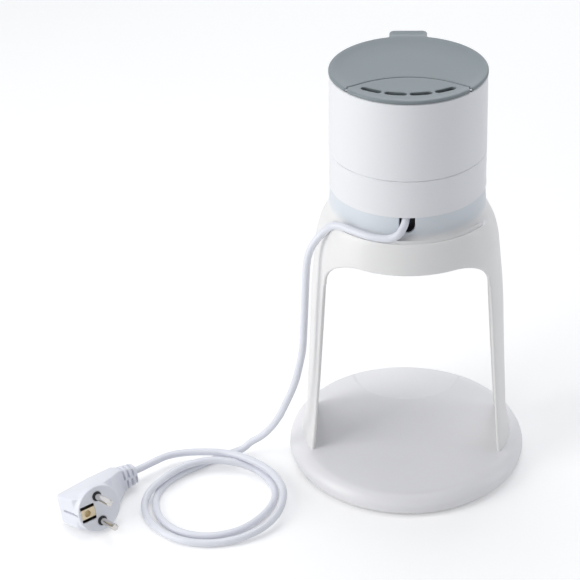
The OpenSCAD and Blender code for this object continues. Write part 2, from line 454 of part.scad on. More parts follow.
// plug frame: +X along the pins, +Y towards the cord, +Z along the line of the pins
module plug_body() {
    color([0.90, 0.91, 0.95]) in_plug() difference() {
        union() {
            xcyl(16.6, -6, 0);
            intersection() {
                translate([0, 0, -20]) linear_extrude(40) polygon([[-1.2, -13], [-5, -16.5], [-26, -18.5], [-29, -16], [-36.2, 33], [-23, 33], [-10, 19], [-4, 12], [-1.2, 8]]);
                rotate([90, 0, 0]) translate([0, 0, -40]) linear_extrude(80) polygon([[0, -15.8], [-6, -15.8], [-28, -9.8], [-36, -9.4], [-36, 9.4], [-28, 9.8], [-6, 15.8], [0, 15.8]]);
                rotate([90, 0, 90]) translate([0, 0, -40]) linear_extrude(41) polygon([[-19, -10], [-10, -14], [-2, -16], [10, -16], [33, -9.5], [33, 9.5], [10, 16], [-2, 16], [-10, 14], [-19, 10]]);
            }
            // ribbed strain relief
            difference() {
                intersection() {
                    translate([0, 0, -20]) linear_extrude(40) polygon([[-36.2, 32.9], [-22.4, 32.9], [-23.2, 46], [-35.8, 46]]);
                    rotate([90, 0, 90]) translate([0, 0, -40]) linear_extrude(41) polygon([[32, -9.2], [46, -7], [46, 7], [32, 9.2]]);
                }
                for (k = [0 : 2]) block([-24.9, 34.6 + 3.9 * k, -20], [-10, 36 + 3.9 * k, 20]);
                for (k = [0 : 2], s = [-1, 1]) block([-40, 36.4 + 3.9 * k, min(s * (8 - 0.5 * k), 20 * s)], [-28, 37.8 + 3.9 * k, max(s * (8 - 0.5 * k), 20 * s)]);
            }
        }
        for (s = [-1, 1]) translate([0, 0, 9.5 * s]) xcyl(3.4, -6, 1);
        block([-6, -14.6, -5.2], [1, -3.4, 5.2]);
        translate([-cord_depth, 0, 0]) ycyl(cr2 + 0.15, 28, 60);
    }
}
module plug_pins() {
    color(steel) in_plug() for (s = [-1, 1]) translate([0, 0, 9.5 * s]) {
        xcyl(pin_d / 2 - 0.3, -5.9, 1);
        xcyl(pin_d / 2, 0.7, 18.2);
        translate([18.2, 0, 0]) rotate([0, 90, 0]) cylinder(r1 = pin_d / 2, r2 = pin_d / 2 - 1, h = 0.8);
    }
}
module pin_insulators() { color([0.08, 0.08, 0.08]) in_plug() for (s = [-1, 1]) translate([0, 0, 9.5 * s]) difference() { xcyl(3.35, -5.8, 0.6); xcyl(pin_d / 2 - 0.28, -7, 2); } }
module earth_contact() { color([0.75, 0.68, 0.5]) in_plug() difference() { block([-5.8, -14.4, -3.6], [-0.4, -3.6, 3.6]); translate([0, -9.6, 0]) xcyl(2.4, -4, 1); } }

base_cover();
base_plate();
ballast_plate();
foot_pads();
base_screws();
leg_screws();
stand_frame();
bottom_cover();
bottom_cover_screws();
lower_shell();
upper_shell();
shell_screws();
water_tank();
tank_seal();
heater_plate();
heating_element();
thermostat();
thermal_fuse();
temperature_sensor();
outlet_fitting();
outlet_seal();
outlet_nut();
silicone_hose();
outlet_nozzle();
valve_frame();
dispense_button();
pinch_yoke();
yoke_spring();
rotary_switch();
knob_shaft();
temperature_knob();
indicator_lens();
indicator_led();
control_board();
power_relay();
capacitor();
terminal_block();
internal_wires();
cord_clamp();
clamp_screws();
vent_cover();
hinge_pins();
lid_flap();
power_cord();
plug_body();
plug_pins();
pin_insulators();
earth_contact();
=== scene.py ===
"""Looks of the bottle warmer: meshes, materials, light and camera in the frame's own metres."""
import json
import math

import bmesh
import bpy
import numpy as np
from mathutils import Matrix, Vector
from mathutils.geometry import delaunay_2d_cdt


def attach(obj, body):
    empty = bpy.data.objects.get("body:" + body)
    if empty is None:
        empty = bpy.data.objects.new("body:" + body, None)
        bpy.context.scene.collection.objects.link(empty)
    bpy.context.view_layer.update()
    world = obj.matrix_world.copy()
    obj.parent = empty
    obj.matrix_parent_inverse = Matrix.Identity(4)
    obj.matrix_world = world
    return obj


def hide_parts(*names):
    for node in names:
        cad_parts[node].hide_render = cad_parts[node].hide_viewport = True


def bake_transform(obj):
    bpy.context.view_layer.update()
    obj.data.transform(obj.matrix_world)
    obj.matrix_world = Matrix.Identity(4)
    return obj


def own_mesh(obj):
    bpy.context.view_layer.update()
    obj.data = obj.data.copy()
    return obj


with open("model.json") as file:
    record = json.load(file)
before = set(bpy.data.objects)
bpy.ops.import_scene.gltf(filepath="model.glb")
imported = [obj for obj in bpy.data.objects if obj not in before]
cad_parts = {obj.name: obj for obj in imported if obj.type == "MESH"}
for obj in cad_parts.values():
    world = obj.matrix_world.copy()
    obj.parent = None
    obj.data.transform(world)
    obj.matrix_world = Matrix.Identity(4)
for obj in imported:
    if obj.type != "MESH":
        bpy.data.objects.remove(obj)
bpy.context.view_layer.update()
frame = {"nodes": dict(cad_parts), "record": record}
NODES = frame["nodes"]
MM = 0.001
scene = bpy.context.scene
RIM = 303.6      # top of the upper shell
HEAD = 223.0     # underside of the head
HR = 53.0


# ------------------------------------------------------------------ materials
def material(name, col, rough=0.4, metal=0.0, vary=0.03, grain=900.0, bump=0.05, streak=None, coat=0.0,
             speck=0.0, alpha=None, trans=0.0, sheen=0.0, sub=0.0, worn=None, spec=0.5, rv=0.05):
    """Procedural finish: two scales of noise tint the colour and the roughness, a fine noise gives the grain."""
    m = bpy.data.materials.new(name)
    m.use_nodes = True
    nt = m.node_tree
    n, l = nt.nodes, nt.links
    b = n["Principled BSDF"]
    tc = n.new("ShaderNodeTexCoord")
    mp = n.new("ShaderNodeMapping")
    l.new(tc.outputs["Object"], mp.inputs["Vector"])
    if streak:
        mp.inputs["Scale"].default_value = streak
    big = n.new("ShaderNodeTexNoise")
    big.inputs["Scale"].default_value = 22
    big.inputs["Detail"].default_value = 4
    l.new(mp.outputs["Vector"], big.inputs["Vector"])
    fine = n.new("ShaderNodeTexNoise")
    fine.inputs["Scale"].default_value = grain
    fine.inputs["Detail"].default_value = 3
    l.new(mp.outputs["Vector"], fine.inputs["Vector"])
    ramp = n.new("ShaderNodeValToRGB")
    e = ramp.color_ramp.elements
    e[0].position, e[1].position = 0.3, 0.7
    lo_c = [max(0.0, c * (1 - vary)) for c in col[:3]] + [1]
    hi_c = [min(1.0, c * (1 + vary)) for c in col[:3]] + [1]
    e[0].color, e[1].color = lo_c, hi_c
    l.new(big.outputs["Fac"], ramp.inputs["Fac"])
    out = ramp.outputs["Color"]
    if speck:
        mix = n.new("ShaderNodeMix")
        mix.data_type = "RGBA"
        thr = n.new("ShaderNodeMath")
        thr.operation = "GREATER_THAN"
        thr.inputs[1].default_value = 0.66
        l.new(fine.outputs["Fac"], thr.inputs[0])
        mul = n.new("ShaderNodeMath")
        mul.operation = "MULTIPLY"
        mul.inputs[1].default_value = speck
        l.new(thr.outputs[0], mul.inputs[0])
        l.new(mul.outputs[0], mix.inputs["Factor"])
        l.new(out, mix.inputs["A"])
        mix.inputs["B"].default_value = [c * 0.55 for c in col[:3]] + [1]
        out = mix.outputs["Result"]
    if worn:
        # a paler or darker tone on the edges that hands and tools rub
        geo = n.new("ShaderNodeNewGeometry")
        r2 = n.new("ShaderNodeValToRGB")
        r2.color_ramp.elements[0].position, r2.color_ramp.elements[1].position = 0.5, 0.56
        l.new(geo.outputs["Pointiness"], r2.inputs["Fac"])
        mx = n.new("ShaderNodeMix")
        mx.data_type = "RGBA"
        l.new(r2.outputs["Color"], mx.inputs["Factor"])
        l.new(out, mx.inputs["A"])
        mx.inputs["B"].default_value = list(worn) + [1]
        out = mx.outputs["Result"]
    l.new(out, b.inputs["Base Color"])
    rr = n.new("ShaderNodeMapRange")
    rr.inputs["To Min"].default_value = max(0.03, rough - rv)
    rr.inputs["To Max"].default_value = min(1.0, rough + rv)
    l.new(big.outputs["Fac"], rr.inputs["Value"])
    l.new(rr.outputs["Result"], b.inputs["Roughness"])
    bp = n.new("ShaderNodeBump")
    bp.inputs["Strength"].default_value = bump
    bp.inputs["Distance"].default_value = 0.0002
    l.new(fine.outputs["Fac"], bp.inputs["Height"])
    l.new(bp.outputs["Normal"], b.inputs["Normal"])
    b.inputs["Metallic"].default_value = metal
    b.inputs["Coat Weight"].default_value = coat
    b.inputs["Coat Roughness"].default_value = 0.18
    b.inputs["Specular IOR Level"].default_value = spec
    if trans:
        b.inputs["Transmission Weight"].default_value = trans
    if sub:
        b.inputs["Subsurface Weight"].default_value = sub
        b.inputs["Subsurface Radius"].default_value = (0.004, 0.004, 0.004)
        b.inputs["Subsurface Scale"].default_value = 0.4
    return m


MAT = {
    "base_plastic": material("base_plastic", (0.86, 0.855, 0.87), 0.32, vary=0.004, bump=0.02, coat=0.12, rv=0.012),
    "stand_plastic": material("stand_plastic", (0.85, 0.845, 0.835), 0.34, vary=0.004, bump=0.025, coat=0.1, rv=0.012),
    "shell_plastic": material("shell_plastic", (0.83, 0.838, 0.862), 0.30, vary=0.004, bump=0.02, coat=0.12, rv=0.012),
    "grey_plastic": material("grey_plastic", (0.215, 0.252, 0.268), 0.45, vary=0.03, grain=2600, bump=0.12),
    "dark_plastic": material("dark_plastic", (0.028, 0.030, 0.034), 0.55, vary=0.06, grain=2000, bump=0.1),
    "black_plastic": material("black_plastic", (0.012, 0.012, 0.013), 0.42, vary=0.08, bump=0.06),
    "valve_plastic": material("valve_plastic", (0.62, 0.63, 0.65), 0.42, vary=0.03, bump=0.06),
    "ballast_iron": material("ballast_iron", (0.13, 0.13, 0.135), 0.62, metal=0.8, vary=0.12, grain=500, bump=0.35, speck=0.4),
    "pad_rubber": material("pad_rubber", (0.03, 0.03, 0.032), 0.8, vary=0.1, grain=700, bump=0.3),
    "screw_steel": material("screw_steel", (0.60, 0.61, 0.63), 0.3, metal=1.0, vary=0.06, bump=0.1, streak=(1, 1, 6)),
    "tank_steel": material("tank_steel", (0.62, 0.62, 0.63), 0.24, metal=1.0, vary=0.05, grain=350, bump=0.12, streak=(1, 1, 14)),
    "element_steel": material("element_steel", (0.30, 0.26, 0.23), 0.42, metal=1.0, vary=0.2, bump=0.2),
    "spring_steel": material("spring_steel", (0.5, 0.5, 0.52), 0.22, metal=1.0, vary=0.05, bump=0.06, streak=(5, 1, 5)),
    "plate_aluminium": material("plate_aluminium", (0.68, 0.69, 0.70), 0.45, metal=1.0, vary=0.07, grain=420, bump=0.3),
    "silicone": material("silicone", (0.74, 0.74, 0.72), 0.5, vary=0.03, bump=0.08, sub=0.15),
    "fuse_body": material("fuse_body", (0.72, 0.69, 0.62), 0.6, vary=0.05, bump=0.1),
    "amber_lens": material("amber_lens", (0.85, 0.36, 0.05), 0.12, vary=0.04, bump=0.02, trans=0.5, coat=0.6),
    "board_green": material("board_green", (0.03, 0.17, 0.07), 0.35, vary=0.1, grain=400, bump=0.1, speck=0.3),
    "relay_blue": material("relay_blue", (0.05, 0.12, 0.30), 0.35, vary=0.05, bump=0.05),
    "wire_red": material("wire_red", (0.50, 0.06, 0.05), 0.42, vary=0.06, bump=0.08),
    "cord_pvc": material("cord_pvc", (0.80, 0.815, 0.875), 0.33, vary=0.02, grain=1400, bump=0.06, coat=0.15, spec=0.5),
    "pin_nickel": material("pin_nickel", (0.74, 0.72, 0.69), 0.16, metal=1.0, vary=0.06, grain=600, bump=0.06, streak=(1, 1, 8)),
    "earth_brass": material("earth_brass", (0.72, 0.62, 0.44), 0.30, metal=1.0, vary=0.1, grain=600, bump=0.1),
}
def paint_shade_and_reflection_by_height(m, z0, z1, col, amount):
    """Paints shade and a cool sky reflection into the colour, rising towards col between two heights, for the shaded
    concave neck under the head.
    """
    nt = m.node_tree
    n, l = nt.nodes, nt.links
    b = n["Principled BSDF"]
    src = b.inputs["Base Color"].links[0].from_socket
    geo = n.new("ShaderNodeNewGeometry")
    sep = n.new("ShaderNodeSeparateXYZ")
    l.new(geo.outputs["Position"], sep.inputs["Vector"])
    mr = n.new("ShaderNodeMapRange")
    mr.interpolation_type = "SMOOTHSTEP"
    mr.inputs["From Min"].default_value, mr.inputs["From Max"].default_value = z0, z1
    mr.inputs["To Max"].default_value = amount
    l.new(sep.outputs["Z"], mr.inputs["Value"])
    mx = n.new("ShaderNodeMix")
    mx.data_type = "RGBA"
    l.new(mr.outputs["Result"], mx.inputs["Factor"])
    l.new(src, mx.inputs["A"])
    mx.inputs["B"].default_value = list(col) + [1]
    l.new(mx.outputs["Result"], b.inputs["Base Color"])


# painted shade and sky reflection: the stand's neck turns bluish grey from the ledge up to the head
paint_shade_and_reflection_by_height(MAT["stand_plastic"], 0.2065, 0.213, (0.66, 0.72, 0.78), 0.75)
slot_of = {}
for s in frame["record"]["subparts"]:
    slot_of[s["node"]] = s.get("material") or s.get("slot") or s.get("material_slot")
for name, o in NODES.items():
    key = slot_of.get(name)
    if key not in MAT and o.data.materials and o.data.materials[0]:
        key = o.data.materials[0].name.split(".")[0]
    if key in MAT:
        o.data.materials.clear()
        o.data.materials.append(MAT[key])


# ------------------------------------------------------------------ mesh helpers
def make(name, verts_mm, faces, slot, body, angle=50, weld=0.0, replaces=()):
    me = bpy.data.meshes.new(name)
    me.from_pydata((np.asarray(verts_mm) * MM).tolist(), [], [list(map(int, f)) for f in faces])
    bm = bmesh.new()
    bm.from_mesh(me)
    if weld:
        bmesh.ops.remove_doubles(bm, verts=bm.verts, dist=weld * MM)
    bmesh.ops.dissolve_degenerate(bm, edges=bm.edges, dist=1e-7)
    bmesh.ops.recalc_face_normals(bm, faces=bm.faces)
    bm.to_mesh(me)
    bm.free()
    me.polygons.foreach_set("use_smooth", [True] * len(me.polygons))
    me.set_sharp_from_angle(angle=math.radians(angle))
    o = bpy.data.objects.new(name, me)
    scene.collection.objects.link(o)
    me.materials.append(MAT[slot])
    if body:
        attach(o, body)
    if replaces:
        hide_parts(*replaces)
    return o


def inside(poly, pts):
    """Even-odd test of points against one closed polygon."""
    x, y = pts[:, 0], pts[:, 1]
    r = np.zeros(len(pts), bool)
    x0, y0 = poly[:, 0], poly[:, 1]
    x1, y1 = np.roll(x0, -1), np.roll(y0, -1)
    for a, b, c, d in zip(x0, y0, x1, y1):
        if b == d:
            continue
        hit = (b > y) != (d > y)
        if hit.any():
            xi = (c - a) * (y - b) / (d - b) + a
            r ^= hit & (x < xi)
    return r


def inward(poly):
    """Unit normals to the left of a closed polygon's direction, with a mitre at the corners."""
    t0 = poly - np.roll(poly, 1, 0)
    t1 = np.roll(poly, -1, 0) - poly
    t0 = t0 / np.maximum(np.linalg.norm(t0, axis=1), 1e-9)[:, None]
    t1 = t1 / np.maximum(np.linalg.norm(t1, axis=1), 1e-9)[:, None]
    n0 = np.stack([-t0[:, 1], t0[:, 0]], 1)
    n1 = np.stack([-t1[:, 1], t1[:, 0]], 1)
    n = n0 + n1
    n = n / np.maximum(np.linalg.norm(n, axis=1), 1e-9)[:, None]
    c = np.clip((n * n0).sum(1), 0.6, 1)
    return n / c[:, None]


def area(poly):
    return 0.5 * np.sum(poly[:, 0] * np.roll(poly[:, 1], -1) - np.roll(poly[:, 0], -1) * poly[:, 1])


PHI = np.radians([0, 22.5, 45, 67.5, 90])


def sheet(name, loops, spacing, mapf, t, slot, body, r_in=0.35, seam=None, extra=None, angle=50, replaces=(), weld=0.02,
          rings=4):
    """A plate over a flat domain. loops: first the outline, then holes, each (points, edge radius per point).
    mapf(points, depth) gives the place of a point that lies depth below the outer face."""
    phis = PHI if rings == 4 else np.radians(np.linspace(0, 90, rings + 1))
    P, D, DI, E = [], [], [], []
    base = 0
    polys = []
    for k, (pts, rad) in enumerate(loops):
        pts = np.asarray(pts, float)
        rad = np.broadcast_to(np.asarray(rad, float), (len(pts),)).copy()
        if (area(pts) > 0) != (k == 0):
            pts, rad = pts[::-1].copy(), rad[::-1].copy()
        polys.append(pts)
        nrm = inward(pts)
        m = len(pts)
        for j, ph in enumerate(phis):
            keep = np.ones(m, bool) if j == 0 else rad > 0.02
            idx = np.full(m, -1)
            idx[keep] = base + np.arange(keep.sum())
            P.append((pts + nrm * (rad * (1 - np.cos(ph)))[:, None])[keep])
            D.append((rad * (1 - np.sin(ph)))[keep])
            DI.append((np.minimum(rad, r_in) * (1 - np.sin(ph)))[keep])
            for i in range(m):
                q = (i + 1) % m
                if idx[i] >= 0 and idx[q] >= 0:
                    E.append((int(idx[i]), int(idx[q])))
            base += int(keep.sum())
    ring = np.concatenate(P)
    d_ring = np.concatenate(D)
    di_ring = np.concatenate(DI)
    mn, mx = polys[0].min(0), polys[0].max(0)
    gx = np.arange(mn[0] + spacing * 0.37, mx[0], spacing)
    gy = np.arange(mn[1] + spacing * 0.41, mx[1], spacing * 0.866)
    G = np.array([(x + (0.5 * spacing if j % 2 else 0), y) for j, y in enumerate(gy) for x in gx])
    if extra is not None and len(extra):
        G0 = np.asarray(extra, float)
        far = np.ones(len(G), bool)
        for c in np.array_split(np.arange(len(G)), max(1, len(G) // 400)):
            d = np.linalg.norm(G[c][:, None] - G0[None], axis=2).min(1)
            far[c] = d > spacing * 0.45
        G = np.concatenate([G0, G[far]])
    ok = inside(polys[0], G)
    for h in polys[1:]:
        ok &= ~inside(h, G)
    G = G[ok]
    near = np.zeros(len(G), bool)
    for c in np.array_split(np.arange(len(G)), max(1, len(G) // 300)):
        d = np.linalg.norm(G[c][:, None] - ring[None], axis=2).min(1)
        near[c] = d < min(0.5 * spacing, 0.9)
    G = G[~near]
    allp = np.concatenate([ring, G])
    v, e, f, ov, _, _ = delaunay_2d_cdt([Vector(p) for p in allp], E, [], 0, 1e-5, True)
    uv = np.array([(p[0], p[1]) for p in v])
    dep = np.zeros(len(uv))
    dei = np.zeros(len(uv))
    for i, src in enumerate(ov):
        s = [q for q in src if q < len(ring)]
        if s:
            dep[i] = d_ring[s[0]]
            dei[i] = di_ring[s[0]]
    tri = np.array([q for q in f if len(q) == 3])
    cen = uv[tri].mean(1)
    ok = inside(polys[0], cen)
    for h in polys[1:]:
        ok &= ~inside(h, cen)
    tri = tri[ok]
    a2 = np.abs(np.cross(uv[tri[:, 1]] - uv[tri[:, 0]], uv[tri[:, 2]] - uv[tri[:, 0]]))
    tri = tri[a2 > 1e-7]
    n = len(uv)
    outer = mapf(uv, dep)
    inner = mapf(uv, t - dei)
    faces = [tuple(q) for q in tri] + [(q[2] + n, q[1] + n, q[0] + n) for q in tri]
    count = {}
    for q in tri:
        for i, j in ((q[0], q[1]), (q[1], q[2]), (q[2], q[0])):
            count[(i, j)] = True
    for (i, j) in count:
        if (j, i) not in count:
            if seam is not None and seam(uv[i]) and seam(uv[j]) and abs(uv[i][0] - uv[j][0]) < 1e-3:
                continue
            faces.append((j, i, i + n, j + n))
    return make(name, np.concatenate([outer, inner]), faces, slot, body, angle, weld, replaces)


def pchip(x, y, xs):
    """Smooth curve through points without overshoot."""
    x, y = np.asarray(x, float), np.asarray(y, float)
    h = np.diff(x)
    d = np.diff(y) / h
    m = np.zeros(len(x))
    for i in range(1, len(x) - 1):
        if d[i - 1] * d[i] > 0:
            w1, w2 = 2 * h[i] + h[i - 1], h[i] + 2 * h[i - 1]
            m[i] = (w1 + w2) / (w1 / d[i - 1] + w2 / d[i])
    m[0], m[-1] = d[0], d[-1]
    k = np.clip(np.searchsorted(x, xs) - 1, 0, len(x) - 2)
    t = (xs - x[k]) / h[k]
    return ((2 * t ** 3 - 3 * t ** 2 + 1) * y[k] + (t ** 3 - 2 * t ** 2 + t) * h[k] * m[k]
            + (-2 * t ** 3 + 3 * t ** 2) * y[k + 1] + (t ** 3 - t ** 2) * h[k] * m[k + 1])


def catmull(pts, k):
    p = np.asarray(pts, float)
    out = []
    n = len(p)
    for i in range(n - 1):
        a, b, c, d = p[max(i - 1, 0)], p[i], p[i + 1], p[min(i + 2, n - 1)]
        for j in range(k):
            t = j / k
            out.append(0.5 * (2 * b + (c - a) * t + (2 * a - 5 * b + 4 * c - d) * t * t + (3 * b - a - 3 * c + d) * t ** 3))
    out.append(p[-1])
    return np.array(out)


def arc(cx, cy, r, a0, a1, n):
    a = np.radians(np.linspace(a0, a1, n))
    return np.stack([cx + r * np.cos(a), cy + r * np.sin(a)], 1)


def resample(p, step, closed=False):
    p = np.asarray(p, float)
    if closed:
        p = np.concatenate([p, p[:1]])
    s = np.r_[0, np.cumsum(np.linalg.norm(np.diff(p, axis=0), axis=1))]
    n = max(int(round(s[-1] / step)), 2)
    t = np.linspace(0, s[-1], n + 1)
    q = np.stack([np.interp(t, s, p[:, i]) for i in range(p.shape[1])], 1)
    return q[:-1] if closed else q


def smooth01(x):
    x = np.clip(x, 0, 1)
    return x * x * (3 - 2 * x)


# ------------------------------------------------------------------ stand
SIDE = np.array([(52.7, 223), (52.95, 218.5), (53.2, 214.5), (53.45, 211), (53.8, 207.6), (54.7, 204.9), (55.8, 202.6),
                 (57.1, 200.2), (58.7, 197), (60.6, 192.6), (62.9, 183.4), (64.0, 174.5), (64.9, 166), (66.3, 153),
                 (67.9, 133), (69.6, 98), (71.8, 58), (73.2, 34), (74.3, 16), (75.0, 3.6)])
REAR = np.array([(52.7, 223), (53.0, 218.5), (53.3, 213.9), (53.9, 209.8), (55.3, 206.7), (57.5, 205.3), (59.2, 206.3),
                 (60.6, 206.9), (61.9, 204.4), (63.9, 196), (66.0, 186), (66.6, 175), (66.7, 165), (66.9, 153),
                 (67.9, 133), (69.6, 98), (71.8, 58), (73.2, 34), (74.3, 16), (75.0, 3.6)])
kk = np.arange(len(SIDE), dtype=float)
W_ST = np.r_[0, np.cumsum(np.linalg.norm(np.diff(0.5 * (SIDE + REAR), axis=0), axis=1))]
K_FINE = np.linspace(0, len(SIDE) - 1, 60 * (len(SIDE) - 1) + 1)
SF = np.stack([pchip(kk, SIDE[:, i], K_FINE) for i in (0, 1)], 1)
cr_rear = catmull(REAR, 60)
RF = cr_rear[:len(K_FINE)]
W_FINE = np.interp(K_FINE, kk, W_ST)
W_MAX = W_ST[-1]
A_MM = 57.0      # domain units per radian


def rear_share(az):
    """1 behind, 0 at the sides and in front; az in radians from +X."""
    d = np.abs((np.degrees(az) + 90 + 180) % 360 - 180)
    return 1 - smooth01((d - 46) / (84 - 46))


def stand_rz(az, w):
    s = rear_share(az)
    r = np.interp(w, W_FINE, SF[:, 0]) * (1 - s) + np.interp(w, W_FINE, RF[:, 0]) * s
    z = np.interp(w, W_FINE, SF[:, 1]) * (1 - s) + np.interp(w, W_FINE, RF[:, 1]) * s
    # the foot swells a little before it enters the base
    y = r * np.sin(az)
    r = r + 2.7 * smooth01((40 - z) / 24) * np.clip(1 - (y / 30.5) ** 2, 0, 1) * (z > 3)
    return r, z


def stand_point(az, w):
    r, z = stand_rz(az, w)
    return np.stack([r * np.cos(az), r * np.sin(az), z], -1)


def stand_map(uv, depth):
    az, w = uv[:, 0] / A_MM, uv[:, 1]
    h = 0.35
    p = stand_point(az, w)
    du = stand_point(az + h / A_MM, w) - stand_point(az - h / A_MM, w)
    dw = stand_point(az, np.clip(w + h, 0, W_MAX)) - stand_point(az, np.clip(w - h, 0, W_MAX))
    n = np.cross(du, dw)
    n /= np.linalg.norm(n, axis=1)[:, None]
    out = np.sign((n[:, :2] * p[:, :2]).sum(1))
    out[out == 0] = 1
    n *= out[:, None]
    return p - n * np.asarray(depth)[:, None]


def w_at(az, z):
    """Domain height of level z below the lip, at azimuth az."""
    w = np.linspace(W_ST[8], W_MAX, 900)
    _, zz = stand_rz(np.full(900, az), w)
    return float(np.interp(-z, -zz, w))


def edge_point(sx, sy, x=None, y=None, z=0.0):
    """Where the outer face has this x (or y) at level z, on the side given by the signs; returns domain (a, w)."""
    az = math.atan2(sy * 0.5, sx * 1.0)
    for _ in range(25):
        w = w_at(az, z)
        r, _z = stand_rz(np.array([az]), np.array([w]))
        r = float(r[0])
        if y is not None:
            az = math.atan2(sy * y, sx * math.sqrt(max(r * r - y * y, 1)))
        else:
            az = math.atan2(sy * math.sqrt(max(r * r - x * x, 1)), sx * x if abs(x) > 1e-6 else 1e-9)
    return az, w_at(az, z)


def leg_half(z):
    return 30.0 + 3.4 * min(max((z - 16) / (161 - 16), -0.1), 1)


def window_side(sy):
    """One window, from the foot of the +X leg over the arch to the foot of the -X leg; unwrapped azimuth."""
    pts = []
    for sx in (1, -1):
        part = []
        for z in np.arange(3.6, 158, 2.0):
            a, w = edge_point(sx, sy, y=leg_half(z), z=z)
            part.append((a, w))
        for ph in np.linspace(0, 90, 23):
            x = 31.6 + 25 * math.cos(math.radians(ph))
            z = 161 + 25 * math.sin(math.radians(ph))
            part.append(edge_point(sx, sy, x=x, z=z))
        for x in np.arange(30, 0, -2.0):
            part.append(edge_point(sx, sy, x=x, z=186.0))
        if sx == 1:
            part.append(edge_point(1, sy, x=0.0, z=186.0))
        pts.append(part)
    return pts[0], pts[1]


def unwrap(a, lo_az):
    while a < lo_az - 1e-6:
        a += 2 * math.pi
    while a > lo_az + 2 * math.pi + 1e-6:
        a -= 2 * math.pi
    return a


LO_AZ = -1.5 * math.pi       # strip from the front (-270 deg) round the back to the front (+90 deg)
rear_p, rear_m = window_side(-1)
front_p, front_m = window_side(1)
bottom = []
# front window, left half, walking with growing azimuth: centre front (-270) to the -X leg (-180)
fm = [(unwrap(a, LO_AZ), w) for a, w in front_m]
bottom += [(LO_AZ, front_p[-1][1])] + fm[::-1]
foot_w = W_MAX
rm = [(unwrap(a, LO_AZ), w) for a, w in rear_m]
a0, a1 = bottom[-1][0], rm[0][0]
for t in np.linspace(0, 1, 30)[1:-1]:
    bottom.append((a0 + (a1 - a0) * t, foot_w))
bottom += rm
rp = [(unwrap(a, LO_AZ), w) for a, w in rear_p]
bottom += rp[::-1]
fp = [(unwrap(a, LO_AZ), w) for a, w in front_p]
a0, a1 = bottom[-1][0], fp[0][0]
for t in np.linspace(0, 1, 30)[1:-1]:
    bottom.append((a0 + (a1 - a0) * t, foot_w))
bottom += fp[:-1] + [(LO_AZ + 2 * math.pi, front_p[-1][1])]
# top edge with the cord notch at the back, walking back
NOTCH_X, NOTCH_W, NOTCH_Z = -0.2, 10.6, 212.0
top = []
top_step = 2.2 / A_MM
notch_left = math.atan2(-52.8, NOTCH_X - NOTCH_W / 2)
notch_right = math.atan2(-52.8, NOTCH_X + NOTCH_W / 2)
w_n = np.interp(-(NOTCH_Z + NOTCH_W / 2), -RF[:240, 1], W_FINE[:240])


def notch_pts():
    out = []
    for z in np.linspace(HEAD, NOTCH_Z + NOTCH_W / 2, 8)[:-1]:
        out.append((NOTCH_X + NOTCH_W / 2, z))
    for ph in np.linspace(0, -180, 19):
        out.append((NOTCH_X + NOTCH_W / 2 * math.cos(math.radians(ph)), NOTCH_Z + NOTCH_W / 2 + NOTCH_W / 2 * math.sin(math.radians(ph))))
    for z in np.linspace(NOTCH_Z + NOTCH_W / 2, HEAD, 8)[1:]:
        out.append((NOTCH_X - NOTCH_W / 2, z))
    res = []
    for x, z in out:
        w = float(np.interp(-z, -RF[:200, 1], W_FINE[:200]))
        r = float(np.interp(w, W_FINE, RF[:, 0]))
        res.append((math.atan2(-math.sqrt(r * r - x * x), x), w))
    return res


for a in np.arange(LO_AZ + 2 * math.pi, notch_right + top_step * 0.5, -top_step):
    top.append((a, 0.0))
notch = notch_pts()
n0 = len(top)
top += notch
n1 = len(top)
aa = np.arange(LO_AZ, notch_left - top_step * 0.5, top_step)[::-1]
for a in aa:
    top.append((a, 0.0))
outline, rad = [], []
for a, w in bottom:
    outline.append((a * A_MM, w))
    rad.append(0.0 if w > W_MAX - 1.0 else 0.95)
for i, (a, w) in enumerate(top):
    # seam levels are added between the chains
    if i == 0:
        for q in np.linspace(bottom[-1][1], 0, 26)[1:-1]:
            outline.append(((LO_AZ + 2 * math.pi) * A_MM, q))
            rad.append(0.0)
    outline.append((a * A_MM, w))
    rad.append(0.6 if n0 <= i < n1 and w > 0.05 else 0.0)
for q in np.linspace(0, bottom[0][1], 26)[1:-1]:
    outline.append((LO_AZ * A_MM, q))
    rad.append(0.0)
outline = np.array(outline)
rad = np.array(rad)
SEAMS = (LO_AZ * A_MM, (LO_AZ + 2 * math.pi) * A_MM)
rad[0] = rad[len(bottom) - 1] = 0.95
# finer points along the ledge and lip, where the surface turns fast
extra = []
for k in (3.5, 4, 4.4, 4.8, 5.2, 5.6, 6, 6.3, 6.6, 7, 7.3, 7.7, 8.2):
    w = float(np.interp(k, kk, W_ST))
    for a in np.arange(-180, 0.1, 2.2):
        extra.append((math.radians(a) * A_MM, w))
for z in np.arange(12, 40, 3.0):
    for az0 in (-math.pi, 0.0):
        w = w_at(az0, z)
        for y in np.arange(-26, 27, 4.0):
            a = az0 + (y / 74.0 if az0 == 0 else -y / 74.0)
            extra.append((a * A_MM, w))


def on_seam(p):
    return abs(p[0] - SEAMS[0]) < 1e-3 or abs(p[0] - SEAMS[1]) < 1e-3


stand = sheet("stand_moulding", [(outline, rad)], 2.6, stand_map, 2.3, "stand_plastic", "stand", seam=on_seam,
              extra=extra, replaces=("stand_frame",), weld=0.03, angle=40)

# painted shade: a near-black upright plate on a short shelf behind the cord notch stands in for the shade seen inside
# the notch
gp = [(-52.0, 204.7), (-44.5, 204.7), (-44.5, 218.9), (-45.9, 218.9), (-45.9, 206.5), (-52.0, 206.5)]
gv = [(x, y, z) for x in (-6.9, 6.9) for y, z in gp]
gf = [tuple(range(6)), tuple(range(11, 5, -1))] + [(i, (i + 1) % 6, 6 + (i + 1) % 6, 6 + i) for i in range(6)]
notch_shade = make("notch_shade_plate", gv, gf, "dark_plastic", "stand", angle=30, replaces=("stand_frame",))
bm = bmesh.new()
bm.from_mesh(notch_shade.data)
bmesh.ops.bevel(bm, geom=list(bm.edges), offset=0.0003, segments=2, affect="EDGES", profile=0.7)
bm.to_mesh(notch_shade.data)
bm.free()

